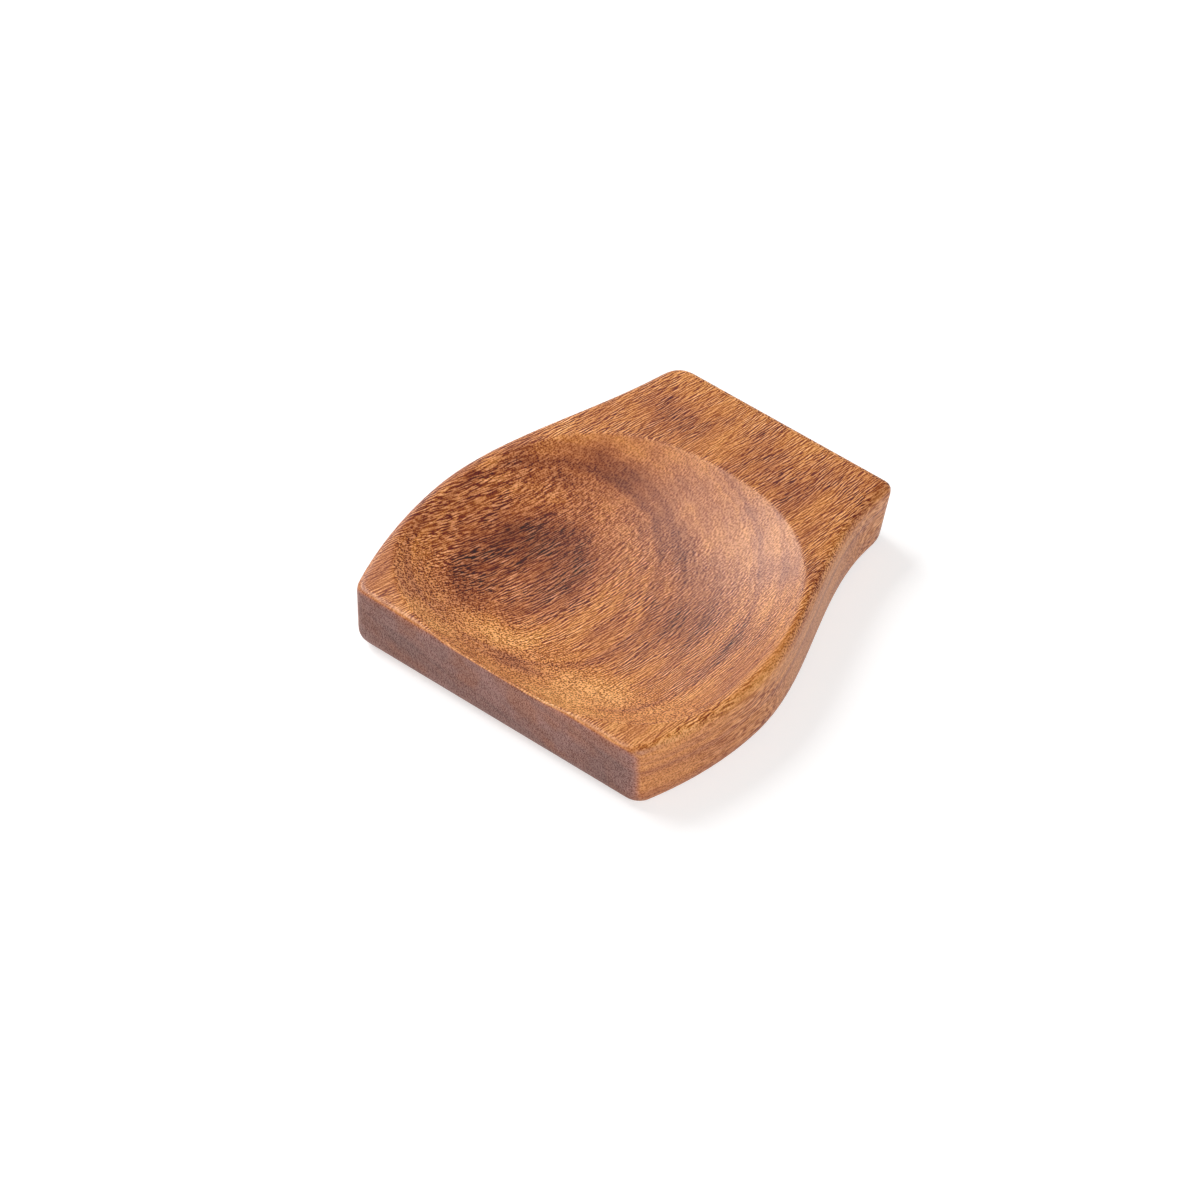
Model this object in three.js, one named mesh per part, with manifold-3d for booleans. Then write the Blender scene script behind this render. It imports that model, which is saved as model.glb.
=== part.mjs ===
// A wooden spoon rest: one block of hardwood with a wide, shallow dish carved into its top.
// Millimetres, +Z up, +X to the right. The wide front edge, where the spoon's handle lies, faces -Y
// and the narrow end faces +Y. The origin is the middle of the flat underside.
import * as THREE from 'three';
import { mergeVertices } from 'three/addons/utils/BufferGeometryUtils.js';
import Module from 'manifold-3d';

// The block: its length runs with the grain, front to rear
const LENGTH = 120;
const THICKNESS = 21;
const BELLY_WIDTH = 111;

// The two sides were shaped by hand and differ by a few millimetres, most at the narrow end: the right side ends
// upright, with a tight corner, and the left one still leans in, with a soft corner. A lean is per millimetre.
const RIGHT = {
  frontHalf: 46.5, bellyFromFront: 40.1, rearHalf: 38.7, lean: 0, neckFromRear: 8.3, rearCorner: 2.5,
};
const LEFT = {
  frontHalf: 47.5, bellyFromFront: 42.9, rearHalf: 34.1, lean: 0.27, neckFromRear: 9.9, rearCorner: 5.5,
};
// Towards the underside the right side's rear corner draws in and gets rounder
const RIGHT_FOOT = { ...RIGHT, rearHalf: 37.6, rearCorner: 6.5 };
const FRONT_CORNER = 3.7;
// A corner gets tighter as a round draws the outline in, down to this
const TIGHTEST_CORNER = 1.2;

// Radii of the sanded edges round the top and round the underside
const TOP_ROUNDS = { front: 1.9, right: 3, rear: 2, left: 1.9 };
const BASE_ROUNDS = { front: 5, right: 3.4, rear: 5, left: 5 };

// The dish: an egg-shaped hollow, widest near the belly, that just runs out over the front edge
const DISH_WIDTH = 105;
const DISH_WIDEST_FROM_FRONT = 36;
const DISH_REAR_REACH = 59;
const DISH_FRONT_REACH = 36.8;
const DISH_DEPTH = 12;
// 2 would make the rim an ellipse; more fills out its shoulders
const RIM_SQUARENESS = 2.4;
// 2 would make the section a parabola; more flattens the floor and steepens the walls
const FLOOR_FLATNESS = 2.6;

// Fineness of the faceted surfaces
const CURVE_STEPS = 18;
const EDGE_STEPS = 5;
const DISH_RINGS = 16;
const DISH_SPOKES = 72;
// The bowl that cuts the dish goes on past its rim, above the top, so that the rim is a clean cut
const OVERRUN_RINGS = 2;

const OILED_ACACIA = '#a8693c';
const OILED_ROUGHNESS = 0.45;

const FRONT = -LENGTH / 2;
const REAR = LENGTH / 2;

const wasm = await Module();
wasm.setup();

/** Turns a closed three.js geometry into a solid that can be cut and joined. */
function toSolid(geometry) {
  const bare = geometry.clone();
  bare.deleteAttribute('normal');
  bare.deleteAttribute('uv');
  const merged = mergeVertices(bare);
  return new wasm.Manifold(new wasm.Mesh({
    numProp: 3,
    vertProperties: new Float32Array(merged.attributes.position.array),
    triVerts: new Uint32Array(merged.index.array),
  }));
}

/** Turns a solid back into a three.js geometry. */
function toGeometry(solid) {
  const mesh = solid.getMesh();
  const geometry = new THREE.BufferGeometry();
  geometry.setAttribute('position', new THREE.BufferAttribute(mesh.vertProperties, mesh.numProp));
  geometry.setIndex(new THREE.BufferAttribute(mesh.triVerts, 1));
  geometry.computeVertexNormals();
  return geometry;
}

/**
 * One side of the plan outline, from the middle of the front edge to the middle of the rear, on +X. The rounds of
 * the front, side and rear edges draw it in, each by the same share of its radius.
 */
function side(end, frontRound, sideRound, rearRound, share) {
  const front = FRONT + frontRound * share;
  const rear = REAR - rearRound * share;
  const drawnIn = sideRound * share;
  const frontHalf = end.frontHalf - drawnIn;
  const bellyHalf = BELLY_WIDTH / 2 - drawnIn;
  const rearHalf = end.rearHalf - drawnIn;
  const frontCorner = Math.max(FRONT_CORNER - drawnIn, TIGHTEST_CORNER);
  const rearCorner = Math.max(end.rearCorner - drawnIn, TIGHTEST_CORNER);

  // The shoulder is a parabola that comes upright at the belly, and the corner takes its first stretch
  const belly = FRONT + end.bellyFromFront;
  const shoulderStart = front + frontCorner;
  const leftOver = (belly - shoulderStart) / end.bellyFromFront;
  const shoulderHalf = bellyHalf - (bellyHalf - frontHalf) * leftOver ** 2;

  // The neck is an S from the upright belly to the straight run before the rear corner
  const neckEnd = REAR - end.neckFromRear;
  const neckHalf = rearHalf + end.lean * end.neckFromRear;
  const reach = (neckEnd - belly) / 3;
  const endHalf = rearHalf + end.lean * (REAR - rear);
  const cornerHalf = endHalf + end.lean * rearCorner;

  const half = new THREE.Path();
  half.moveTo(0, front);
  half.lineTo(frontHalf - frontCorner, front);
  half.quadraticCurveTo(frontHalf, front, shoulderHalf, shoulderStart);
  half.quadraticCurveTo(bellyHalf, (shoulderStart + belly) / 2, bellyHalf, belly);
  half.bezierCurveTo(bellyHalf, belly + reach, neckHalf + end.lean * reach, neckEnd - reach, neckHalf, neckEnd);
  half.lineTo(cornerHalf, rear - rearCorner);
  half.quadraticCurveTo(endHalf, rear, endHalf - rearCorner, rear);
  half.lineTo(0, rear);
  return half.getPoints(CURVE_STEPS);
}

/** The edge's radius at each point of a side, which changes from one edge to the next within the corners. */
function roundsAlong(frontRound, sideRound, rearRound) {
  const corner = [...Array(CURVE_STEPS).keys()].map((step) => (step + 1) / CURVE_STEPS);
  return [
    frontRound,
    frontRound,
    ...corner.map((share) => frontRound + (sideRound - frontRound) * share),
    ...Array(2 * CURVE_STEPS + 1).fill(sideRound),
    ...corner.map((share) => sideRound + (rearRound - sideRound) * share),
    rearRound,
  ];
}

/** One ring round the block, anticlockwise from above: drawn in and lifted by shares of each edge's radius. */
function ring(right, left, rounds, share, lift) {
  const halves = [[right, rounds.right, 1], [left, rounds.left, -1]].map(([end, sideRound, way]) => {
    const radii = roundsAlong(rounds.front, sideRound, rounds.rear);
    const points = side(end, rounds.front, sideRound, rounds.rear, share);
    return points.map((point, i) => new THREE.Vector3(way * point.x, point.y, lift(radii[i])));
  });
  return [...halves[0], ...halves[1].slice(1, -1).reverse()];
}

/** The block before carving: rings from the flat underside up the wall and over the top edge. */
function block() {
  const turns = [...Array(EDGE_STEPS + 1).keys()].map((step) => (step / EDGE_STEPS) * (Math.PI / 2));
  const rings = [
    ...turns.map((turn) => ring(
      RIGHT_FOOT, LEFT, BASE_ROUNDS, 1 - Math.sin(turn), (radius) => radius * (1 - Math.cos(turn)),
    )),
    ...turns.map((turn) => ring(
      RIGHT, LEFT, TOP_ROUNDS, 1 - Math.cos(turn), (radius) => THICKNESS - radius * (1 - Math.sin(turn)),
    )),
  ];
  const count = rings[0].length;

  const triangles = [];
  for (let row = 0; row + 1 < rings.length; row += 1) {
    for (let i = 0; i < count; i += 1) {
      const [here, next] = [row * count + i, row * count + (i + 1) % count];
      triangles.push(here, next, next + count, here, next + count, here + count);
    }
  }
  const top = (rings.length - 1) * count;
  THREE.ShapeUtils.triangulateShape(rings[0], []).forEach(([a, b, c]) => triangles.push(a, c, b));
  THREE.ShapeUtils.triangulateShape(rings.at(-1), []).forEach((face) => {
    triangles.push(...face.map((corner) => top + corner));
  });

  const geometry = new THREE.BufferGeometry().setFromPoints(rings.flat());
  geometry.setIndex(triangles);
  return toSolid(geometry);
}

/** Depth of the dish below the top at a share of the way from its middle to its rim. */
function dishDepth(share) {
  return DISH_DEPTH * (1 - share ** FLOOR_FLATNESS);
}

/** What the carving takes away: a turned bowl shape, drawn out into the egg of the rim. */
function dishCut() {
  const outermost = 1 + OVERRUN_RINGS / DISH_RINGS;
  const profile = [];
  for (let ring = 0; ring <= DISH_RINGS + OVERRUN_RINGS; ring += 1) {
    const share = ring / DISH_RINGS;
    profile.push(new THREE.Vector2(share, THICKNESS - dishDepth(share)));
  }
  profile.push(new THREE.Vector2(outermost, THICKNESS + DISH_DEPTH));
  profile.push(new THREE.Vector2(0, THICKNESS + DISH_DEPTH));

  const bowl = new THREE.LatheGeometry(profile, DISH_SPOKES);
  bowl.rotateX(Math.PI / 2);

  const places = bowl.attributes.position;
  for (let i = 0; i < places.count; i += 1) {
    const x = places.getX(i);
    const y = places.getY(i);
    const radius = Math.hypot(x, y);
    const squared = (Math.abs(x) ** RIM_SQUARENESS + Math.abs(y) ** RIM_SQUARENESS) ** (1 / RIM_SQUARENESS);
    const fill = squared > 0 ? radius / squared : 1;
    const reach = y > 0 ? DISH_REAR_REACH : DISH_FRONT_REACH;
    places.setX(i, x * fill * DISH_WIDTH / 2);
    places.setY(i, y * fill * reach);
  }
  bowl.translate(0, FRONT + DISH_WIDEST_FROM_FRONT, 0);
  return toSolid(bowl);
}

const oiledAcacia = new THREE.MeshStandardMaterial({
  color: OILED_ACACIA,
  roughness: OILED_ROUGHNESS,
  metalness: 0,
});

const carvedBody = new THREE.Mesh(toGeometry(block().subtract(dishCut())), oiledAcacia);
carvedBody.name = 'carved_body';

const spoonRest = new THREE.Group();
spoonRest.add(carvedBody);

export default spoonRest;
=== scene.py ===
"""A carved wooden spoon rest in oiled acacia, standing on a white studio floor."""

import logging
import math
from dataclasses import dataclass, field
from enum import Enum
from typing import Callable

import bmesh
import bpy
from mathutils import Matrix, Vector
from mathutils.kdtree import KDTree


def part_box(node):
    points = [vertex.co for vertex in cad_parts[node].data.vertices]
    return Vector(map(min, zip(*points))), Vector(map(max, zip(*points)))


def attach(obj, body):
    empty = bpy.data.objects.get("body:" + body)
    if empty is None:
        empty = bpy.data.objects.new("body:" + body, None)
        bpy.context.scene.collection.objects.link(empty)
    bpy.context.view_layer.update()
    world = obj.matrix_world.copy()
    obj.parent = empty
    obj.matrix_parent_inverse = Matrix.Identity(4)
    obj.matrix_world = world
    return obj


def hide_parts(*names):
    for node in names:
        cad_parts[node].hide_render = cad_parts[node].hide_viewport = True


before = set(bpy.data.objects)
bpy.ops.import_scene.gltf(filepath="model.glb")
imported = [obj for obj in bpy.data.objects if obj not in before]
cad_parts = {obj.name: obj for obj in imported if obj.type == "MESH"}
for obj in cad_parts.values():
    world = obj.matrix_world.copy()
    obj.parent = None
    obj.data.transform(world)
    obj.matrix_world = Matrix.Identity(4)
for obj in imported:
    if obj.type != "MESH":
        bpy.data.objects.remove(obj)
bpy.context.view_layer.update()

LOG = logging.getLogger("spoon_rest")

MM = 0.001
# Corners this close are welded into one
WELD = MM / 1000
# A corner this close to a height lies at it
NEAR = MM / 100
# The photograph's side in pixels
PHOTO_SIDE = 1200
# The value that Blender's noise goes up and down from
NOISE_MIDDLE = 0.5

Point = tuple[float, float]
Span = tuple[float, float]
Corner = tuple[float, float, float]
Colour = tuple[float, float, float, float]
Tree = bpy.types.NodeTree
Socket = bpy.types.NodeSocket


def linear(hex_colour: str) -> Colour:
    """Turns an sRGB hex colour into the linear colour that a shader takes.

    Args:
        hex_colour: Six hex digits after a hash sign.

    Returns:
        Linear red, green, blue and an alpha of 1.
    """
    channels = [int(hex_colour[i:i + 2], 16) / 255 for i in (1, 3, 5)]
    low = 0.04045
    red, green, blue = (c / 12.92 if c <= low else ((c + 0.055) / 1.055) ** 2.4 for c in channels)
    return red, green, blue, 1.0


def bare_material(name: str) -> bpy.types.Material:
    """Makes a material whose node tree is still empty.

    Args:
        name: The material's name.

    Returns:
        The material.
    """
    material = bpy.data.materials.new(name)
    material.use_nodes = True
    material.node_tree.nodes.clear()
    return material


def add_node(
    tree: Tree, kind: str, feeds: dict, stops: list[tuple[float, Colour]] | None = None, **settings: object
) -> bpy.types.Node:
    """Adds a node with its settings, and feeds its sockets.

    Args:
        tree: The node tree that the node goes into.
        kind: Blender's name for the kind of shader node, without its first two words.
        feeds: A value, or another node's output, for each input by name or number.
        stops: The colours of a run of colours, and how far along each is.
        **settings: The node's own options.

    Returns:
        The new node.
    """
    made = tree.nodes.new("ShaderNode" + kind)
    for name, value in settings.items():
        setattr(made, name, value)
    for socket, feed in feeds.items():
        if isinstance(feed, Socket):
            tree.links.new(feed, made.inputs[socket])
        else:
            made.inputs[socket].default_value = feed
    if stops:
        elements = made.color_ramp.elements
        while len(elements) < len(stops):
            elements.new(1.0)
        for element, (position, colour) in zip(elements, stops):
            element.position = position
            element.color = colour
    return made


def seen_directly(tree: Tree) -> Socket:
    """A value that is 1 for what the camera, a reflection or a clear piece shows, and 0 for bounced light.

    Args:
        tree: The node tree that asks.

    Returns:
        The output that holds the value.
    """
    path = add_node(tree, "LightPath", {})
    feeds = {0: path.outputs["Is Camera Ray"], 1: path.outputs["Is Glossy Ray"]}
    shown = add_node(tree, "Math", feeds, operation="MAXIMUM")
    feeds = {0: shown.outputs[0], 1: path.outputs["Is Transmission Ray"]}
    return add_node(tree, "Math", feeds, operation="MAXIMUM").outputs[0]


def around(azimuth: float, elevation: float) -> Vector:
    """The direction from the rest to a place round it.

    Args:
        azimuth: Degrees to the right of straight in front.
        elevation: Degrees above the floor.

    Returns:
        A vector of length 1.
    """
    turn, lift = math.radians(azimuth), math.radians(elevation)
    return Vector((math.sin(turn) * math.cos(lift), -math.cos(turn) * math.cos(lift), math.sin(lift)))


def bezier(corners: list[Point], steps: int) -> list[Point]:
    """Points along a Bezier curve, without its first point.

    Args:
        corners: The curve's end points and, between them, its control points.
        steps: How many points to give.

    Returns:
        The points, evenly spaced in the curve's own parameter.
    """
    points = []
    for step in range(1, steps + 1):
        share = step / steps
        row = list(corners)
        while len(row) > 1:
            row = [
                (a[0] + (b[0] - a[0]) * share, a[1] + (b[1] - a[1]) * share) for a, b in zip(row, row[1:])
            ]
        points.append(row[0])
    return points


def select_edges(piece: bpy.types.Object, test: Callable[[Vector], bool]) -> None:
    """Selects, in edit mode, just the edges whose two ends both pass a test of their place.

    Args:
        piece: The mesh object being edited.
        test: Says whether a point counts.
    """
    bpy.ops.mesh.select_mode(type="EDGE")
    bpy.ops.mesh.select_all(action="DESELECT")
    shape = bmesh.from_edit_mesh(piece.data)
    for edge in shape.edges:
        edge.select_set(all(test(corner.co) for corner in edge.verts))
    bmesh.update_edit_mesh(piece.data)


def draw_loop(name: str, row: list[Vector]) -> bpy.types.Object:
    """Draws a closed loop of edges and leaves it selected in edit mode.

    Args:
        name: The new object's name.
        row: The loop's corners.

    Returns:
        The new mesh object, in edit mode.
    """
    bpy.ops.object.select_all(action="DESELECT")
    bpy.ops.mesh.primitive_plane_add(size=MM)
    piece = bpy.context.object
    piece.name = name
    piece.data.name = name
    bpy.ops.object.mode_set(mode="EDIT")
    bpy.ops.mesh.select_mode(type="VERT")
    bpy.ops.mesh.merge(type="CENTER")
    bpy.ops.transform.translate(value=row[0])
    for here, there in zip(row, row[1:] + row[:1]):
        bpy.ops.mesh.extrude_region_move(TRANSFORM_OT_translate={"value": there - here})
    bpy.ops.mesh.select_all(action="SELECT")
    bpy.ops.mesh.remove_doubles(threshold=WELD)
    return piece


def extrude_row(piece: bpy.types.Object, last: list[Vector], row: list[Vector]) -> None:
    """Extrudes the selected loop to a new one, corner by corner, and leaves that selected.

    Args:
        piece: The mesh object being edited.
        last: The selected loop's corners.
        row: Where each of them goes.
    """
    bpy.ops.mesh.extrude_edges_move()
    places = KDTree(len(last))
    for number, corner in enumerate(last):
        places.insert(corner, number)
    places.balance()
    shape = bmesh.from_edit_mesh(piece.data)
    for corner in shape.verts:
        if corner.select:
            corner.co = row[places.find(corner.co)[1]]
    bmesh.update_edit_mesh(piece.data)


class WoodShade(Enum):
    """The wood's colours under oil, from the inside of a vessel to the palest layer."""

    HOLLOW = "#2E140A"
    HEART = "#542611"
    UMBER = "#7B3D1D"
    BROWN = "#9B562E"
    TAN = "#BA7140"
    ORANGE = "#D58B4B"
    HONEY = "#E8A35E"


class Fold(Enum):
    """How values are taken together."""

    SUM = "ADD"
    PRODUCT = "MULTIPLY"


@dataclass(frozen=True)
class Cloud:
    """A soft patch inside the board that is darker or paler than its layer. Lengths are in millimetres."""

    centre: Corner
    reach: Corner
    tone: float


@dataclass(frozen=True)
class OiledAcacia:
    """Acacia, carved, sanded fine and wiped with oil.

    To the eye: orange-brown layers that a carved hollow cuts into rings, fine dark vessels that read as
    strokes where the surface runs with the grain and as dots where it crosses it, dark thirsty end grain,
    and the soft sheen of oil that leaves the pores open.

    Lengths are in millimetres. A tone is a lightness from 0 to 1, as the eye sees it. A span is a pair of
    slopes, noises or sharpnesses between which something comes in or fades.
    """

    # The tone between one shade of the wood and the next
    shade_step: float = 0.1
    # Growth layers: a height through the board, and the tone there
    layers: tuple[tuple[float, float], ...] = (
        (-10.0, 0.535),
        (-6.0, 0.485),
        (-4.0, 0.565),
        (-1.0, 0.465),
        (1.5, 0.555),
        (4.0, 0.455),
        (5.8, 0.495),
        (6.65, 0.485),
        (6.95, 0.415),
        (7.6, 0.415),
        (8.1, 0.500),
        (8.8, 0.530),
        (9.7, 0.540),
        (10.5, 0.525),
        (11.9, 0.495),
        (13.4, 0.525),
        (14.6, 0.565),
        (15.6, 0.575),
        (16.3, 0.535),
        (17.6, 0.565),
        (19.5, 0.555),
        (21.2, 0.485),
        (21.8, 0.505),
        (22.9, 0.595),
        (23.7, 0.585),
        (24.6, 0.505),
        (25.4, 0.580),
        (26.3, 0.515),
        (27.0, 0.590),
        (28.0, 0.505),
        (29.2, 0.570),
        (31.0, 0.515),
    )
    # Placed so that the figure lies where the real one's does
    # Some clouds also paint light or shade onto the wood, as marked where they stand
    clouds: tuple[Cloud, ...] = (
        # The dark eye left of the dish's middle, and the pale wood round it
        Cloud((-24.0, -17.0, 10.0), (20.0, 23.0, 8.0), -0.09),
        Cloud((-34.0, -26.0, 11.0), (8.0, 14.0, 7.0), -0.07),
        Cloud((-20.0, -27.0, 9.3), (9.0, 9.0, 5.0), 0.04),
        Cloud((-30.0, -11.0, 10.5), (11.0, 10.0, 7.0), -0.11),
        Cloud((-20.0, -6.0, 11.0), (15.0, 9.0, 7.0), -0.06),
        Cloud((-4.0, -27.0, 9.5), (13.0, 20.0, 7.0), 0.11),
        Cloud((-14.0, -41.0, 12.0), (20.0, 14.0, 8.0), 0.18),
        Cloud((20.0, -37.0, 12.0), (24.0, 17.0, 8.0), 0.07),
        Cloud((-9.0, -34.0, 10.5), (8.0, 8.0, 6.0), 0.11),
        Cloud((1.0, -12.0, 9.5), (10.0, 9.0, 6.0), 0.06),
        Cloud((6.0, -40.0, 12.0), (8.0, 8.0, 6.0), 0.06),
        # The dark band up the rear wall: a darker band in the wood, deepened with painted shade where the
        # lamps' sheen falls less
        Cloud((-46.0, 4.0, 17.0), (10.0, 9.0, 9.0), -0.08),
        Cloud((-37.0, 12.0, 16.5), (11.0, 9.0, 9.0), -0.09),
        # Painted shade deepens the band most here
        Cloud((-27.0, 20.0, 16.5), (15.0, 10.0, 9.0), -0.15),
        Cloud((-14.0, 20.0, 16.0), (15.0, 11.0, 8.0), -0.12),
        Cloud((-25.0, 9.0, 13.5), (16.0, 7.0, 7.0), -0.05),
        Cloud((-1.0, 14.0, 14.0), (14.0, 11.0, 8.0), -0.11),
        Cloud((10.0, 9.0, 12.5), (13.0, 10.0, 7.0), -0.09),
        Cloud((23.0, -5.0, 11.0), (13.0, 20.0, 7.0), -0.15),
        Cloud((19.0, 9.0, 13.0), (12.0, 11.0, 8.0), -0.07),
        Cloud((-3.0, 26.0, 17.0), (26.0, 9.0, 8.0), -0.06),
        # The left wall, the front lip and the right wall
        Cloud((-44.0, -14.0, 14.0), (9.0, 14.0, 8.0), -0.08),
        Cloud((-48.0, -38.0, 19.0), (8.0, 11.0, 8.0), 0.05),
        Cloud((-28.0, -54.0, 17.0), (15.0, 9.0, 7.0), 0.13),
        Cloud((-4.0, -47.5, 15.0), (14.0, 6.0, 6.0), -0.14),
        Cloud((-30.0, -40.0, 13.0), (10.0, 7.0, 6.0), -0.04),
        Cloud((18.0, -44.0, 13.5), (22.0, 16.0, 9.0), 0.13),
        Cloud((20.0, -56.0, 17.5), (24.0, 10.0, 8.0), 0.18),
        Cloud((40.0, -57.0, 20.0), (10.0, 8.0, 7.0), 0.08),
        Cloud((18.0, -52.0, 16.5), (10.0, 7.0, 6.0), 0.06),
        Cloud((-20.0, -51.0, 16.5), (12.0, 9.0, 7.0), 0.05),
        Cloud((42.0, -44.0, 19.0), (15.0, 20.0, 9.0), 0.06),
        # Painted light: paler wood along the right top edge, which the lamps leave in shade
        Cloud((54.0, -22.0, 19.5), (5.0, 32.0, 4.5), 0.10),
        Cloud((50.0, -47.0, 19.5), (6.0, 13.0, 4.0), 0.08),
        Cloud((39.5, -8.0, 17.5), (6.0, 13.0, 6.0), -0.11),
        Cloud((41.0, -30.0, 17.5), (10.0, 15.0, 8.0), 0.07),
        # Painted shade: darker wood under the sheen lamp's highlight, to dim it
        Cloud((34.0, 17.0, 18.5), (8.0, 9.0, 6.0), -0.10),
        Cloud((47.0, 0.0, 20.0), (7.0, 9.0, 7.0), 0.05),
        # Painted shade: darker wood on the right rim, where the sheen lamp lights it strongly
        Cloud((48.5, -20.0, 20.0), (5.0, 10.0, 5.0), -0.05),
        # The land
        Cloud((-23.0, 43.0, 21.0), (15.0, 9.0, 8.0), -0.09),
        Cloud((18.0, 40.0, 21.0), (13.0, 9.0, 8.0), -0.08),
        Cloud((-3.0, 44.0, 22.0), (9.0, 18.0, 5.0), 0.11),
        Cloud((18.0, 31.0, 20.0), (9.0, 6.0, 5.0), -0.06),
        Cloud((-2.0, 37.0, 21.0), (6.0, 6.0, 6.0), 0.04),
        Cloud((39.0, 31.0, 21.0), (6.0, 9.0, 6.0), 0.06),
        Cloud((11.0, 45.0, 22.0), (8.0, 18.0, 5.0), -0.07),
        Cloud((4.0, 58.0, 21.0), (46.0, 8.0, 6.0), 0.06),
        Cloud((-44.0, 20.0, 20.0), (10.0, 14.0, 7.0), 0.11),
        Cloud((-52.0, -1.0, 20.0), (6.0, 9.0, 7.0), 0.08),
        Cloud((-27.0, 55.0, 21.0), (9.0, 8.0, 6.0), 0.07),
        Cloud((33.0, 40.0, 21.0), (7.0, 12.0, 6.0), 0.05),
        # The front face
        Cloud((-32.0, -61.0, 10.0), (20.0, 4.0, 9.0), -0.12),
        Cloud((2.0, -61.0, 14.0), (22.0, 4.0, 9.0), 0.10),
        Cloud((38.0, -61.0, 9.0), (16.0, 4.0, 12.0), -0.14),
    )
    # Patches with a cleaner cut, where the strokes show less by the share that is given as a tone
    calm: tuple[Cloud, ...] = (
        Cloud((56.0, -2.0, 20.5), (16.0, 46.0, 7.0), -0.8),
        Cloud((40.0, -52.0, 20.0), (26.0, 18.0, 9.0), -0.6),
        Cloud((-46.0, -50.0, 20.0), (18.0, 16.0, 9.0), -0.5),
    )
    # The layers lean to the right, ripple, and sway with the grain
    layer_slope: float = 0.172
    sway_length: float = 60.0
    sway_width: float = 26.0
    sway_reach: float = 2.5
    sway_rise: float = 1 / 3
    ripple_width: float = 4.0
    ripple_length: float = 20.0
    ripple_reach: float = 0.7
    line_spacing: float = 0.8
    line_tone: float = 0.07
    mottle_width: float = 5.0
    mottle_length: float = 14.0
    mottle_tone: float = 0.08
    # Strokes, where the surface runs with the grain. Real vessels are 0.1 to 0.2 mm wide, too fine to show
    # in the render, so the strokes, and the dots below, are drawn two to three times as coarse.
    fibre_lean: float = 0.2
    fibre_fan: float = 0.002
    fibre_width: float = 0.38
    fibre_length: float = 2.6
    fibre_shift: Corner = (0.32, 0.0, 0.1)
    fibre_tone: float = 1.6
    fibre_pale: float = 0.18
    fibre_darkest: float = -0.34
    cross_turn: Span = (0.08, 0.3)
    cross_cut: float = 0.25
    side_turn: Span = (0.35, 0.75)
    side_cut: float = 0.6
    patch_width: float = 4.0
    patch_length: float = 9.0
    patch_noise: Span = (0.35, 0.65)
    patch_faint: float = 0.65
    patch_bold: float = 1.2
    # Dots, where the surface crosses the grain
    dot_spacing: float = 0.55
    dot_edge: Span = (0.15, 0.6)
    dot_tone: float = -0.5
    dot_pale: float = 0.12
    dot_turn: Span = (0.05, 0.25)
    dot_least: float = 0.25
    dot_end_turn: Span = (0.5, 0.9)
    dot_end_grain: float = 0.95
    dot_forward: Span = (-0.3, -0.05)
    dot_lying: Span = (0.3, 0.6)
    dot_rear: float = 0.32
    # Open vessels: long, broken, dark lines
    vessel_spacing: float = 0.7
    vessel_length: float = 7.0
    vessel_share: float = 0.04
    vessel_break_width: float = 0.6
    vessel_break_length: float = 3.0
    vessel_gaps: Span = (0.4, 0.6)
    vessel_tone: float = -0.2
    vessel_depth: float = 0.08
    vessel_relief: float = 0.4
    # End grain, which drinks more oil, turns grey in blotches and is sanded flatter; the grey is partly a
    # painted reflection of the pale surroundings
    end_grain_turn: Span = (0.58, 0.95)
    end_grain_grey_and_reflection: str = "#835C53"
    end_grain_tone: float = 0.33
    end_grain_even: float = 0.6
    end_grain_blotch: float = 9.0
    end_grain_noise: Span = (0.35, 0.55)
    end_grain_least: float = 0.55
    end_grain_pores: float = 0.15
    end_grain_sanding: float = 0.75
    # Edges: paler with a painted highlight where they catch the light, and where handling has worn the oil
    # thin
    edge_sharpness: Span = (0.52, 0.56)
    edge_highlight_tone: float = 0.06
    # The oil: glossier on pale wood, rougher in the pores and on end grain
    roughness: float = 0.42
    pore_roughness: float = -0.4
    end_grain_roughness: float = 0.15
    ior: float = 1.55
    # How a screen's values go with light, and the least of them that is kept
    eye_gamma: float = 2.2
    least_seen: float = 0.02

    def material(self) -> bpy.types.Material:
        """Builds the material.

        Returns:
            The finished material, named for the wood.
        """
        material = bare_material("oiled acacia")
        tree = material.node_tree
        coordinates = add_node(tree, "TexCoord", {})
        feeds = {0: coordinates.outputs["Object"], "Scale": 1 / MM}
        place = add_node(tree, "VectorMath", feeds, operation="SCALE").outputs[0]
        normal = add_node(tree, "SeparateXYZ", {0: coordinates.outputs["Normal"]})

        grain = self._straightened(tree, place)
        end_grain = self._end_grain(tree, normal)
        cut = self._cut(tree, place, normal, end_grain)
        dots = self._dots(tree, grain, normal)
        pores = self._pores(tree, self._upright(tree, grain), cut, dots)
        body = self._body(tree, place, grain, end_grain)

        # To the eye, the fine detail lightens and darkens red, green and blue alike
        seen = add_node(tree, "Gamma", {0: body, 1: 1 / self.eye_gamma})
        detailed = add_node(tree, "VectorMath", {0: seen.outputs[0], 1: pores}, operation="ADD")
        feeds = {0: detailed.outputs[0], 1: (self.least_seen,) * 3}
        kept = add_node(tree, "VectorMath", feeds, operation="MAXIMUM")
        colour = add_node(tree, "Gamma", {0: kept.outputs[0], 1: self.eye_gamma})

        feeds = {0: pores, 1: self.pore_roughness, 2: self.roughness}
        rough = add_node(tree, "Math", feeds, operation="MULTIPLY_ADD")
        feeds = {0: end_grain, 1: self.end_grain_roughness, 2: rough.outputs[0]}
        rougher = add_node(tree, "Math", feeds, operation="MULTIPLY_ADD")

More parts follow.
